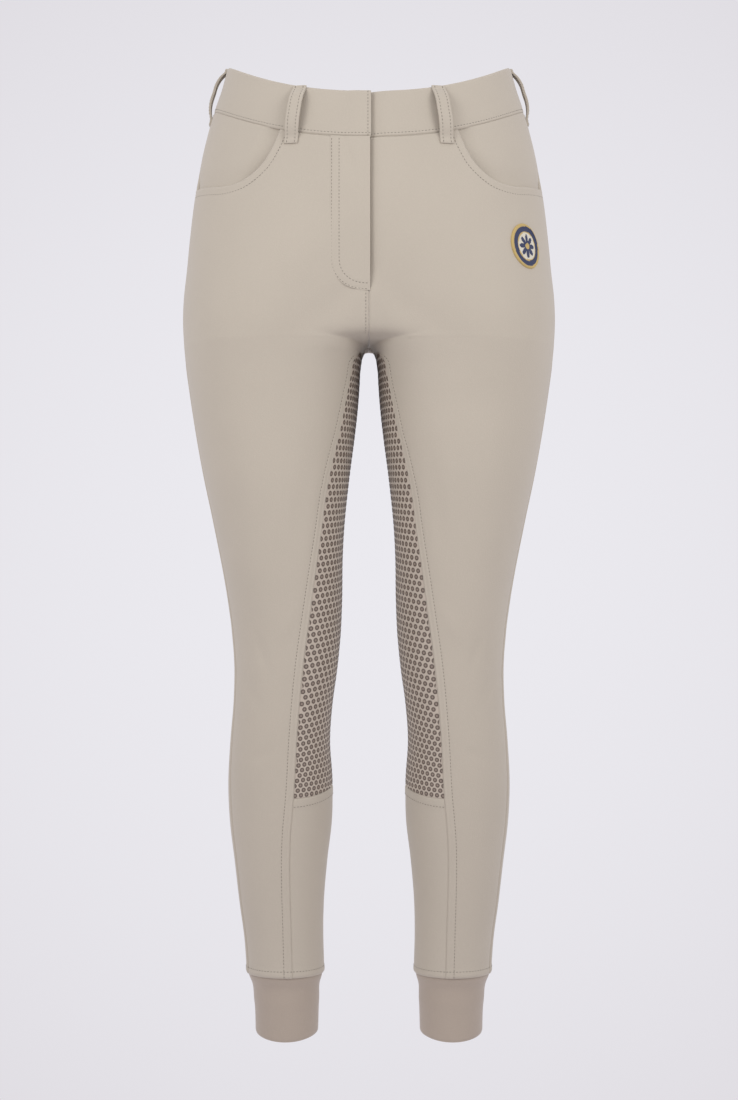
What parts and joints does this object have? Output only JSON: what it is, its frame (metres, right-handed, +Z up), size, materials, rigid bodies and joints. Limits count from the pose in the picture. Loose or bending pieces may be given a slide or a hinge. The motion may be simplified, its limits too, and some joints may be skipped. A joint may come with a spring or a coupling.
{
  "type": "riding breeches",
  "caption": "Full-seat riding breeches filled out as worn, open at waist and cuffs, with a contoured waistband, scoop pockets and a fly.",
  "frame": {"origin": "middle of the waist opening, on the body's centre line, at the height of the waistband", "axes": "+Z up along the body, -Y out of the front, +X to the wearer's left"},
  "size_m": [0.3708, 0.2537, 0.9647],
  "materials": {
    "shell_cloth": "matte stretch weave",
    "grip_cloth": "stretch weave printed with soft grip dots",
    "cuff_knit": "fine elastic knit",
    "patch_cloth": "embroidered"
  },
  "bodies": {
    "root": {"front_left": "shell_cloth", "back_left": "shell_cloth", "seat_grip_left": "grip_cloth", "inner_calf_left": "shell_cloth", "pocket_facing_left": "shell_cloth", "waistband_left": "shell_cloth", "cuff_left": "cuff_knit", "front_right": "shell_cloth", "back_right": "shell_cloth", "seat_grip_right": "grip_cloth", "inner_calf_right": "shell_cloth", "pocket_facing_right": "shell_cloth", "waistband_right": "shell_cloth", "cuff_right": "cuff_knit", "belt_loop_front_left": "shell_cloth", "belt_loop_front_right": "shell_cloth", "belt_loop_side_left": "shell_cloth", "belt_loop_side_right": "shell_cloth", "belt_loop_back": "shell_cloth", "fly_placket": "shell_cloth", "hip_patch": "patch_cloth"}
  },
  "joints": []
}
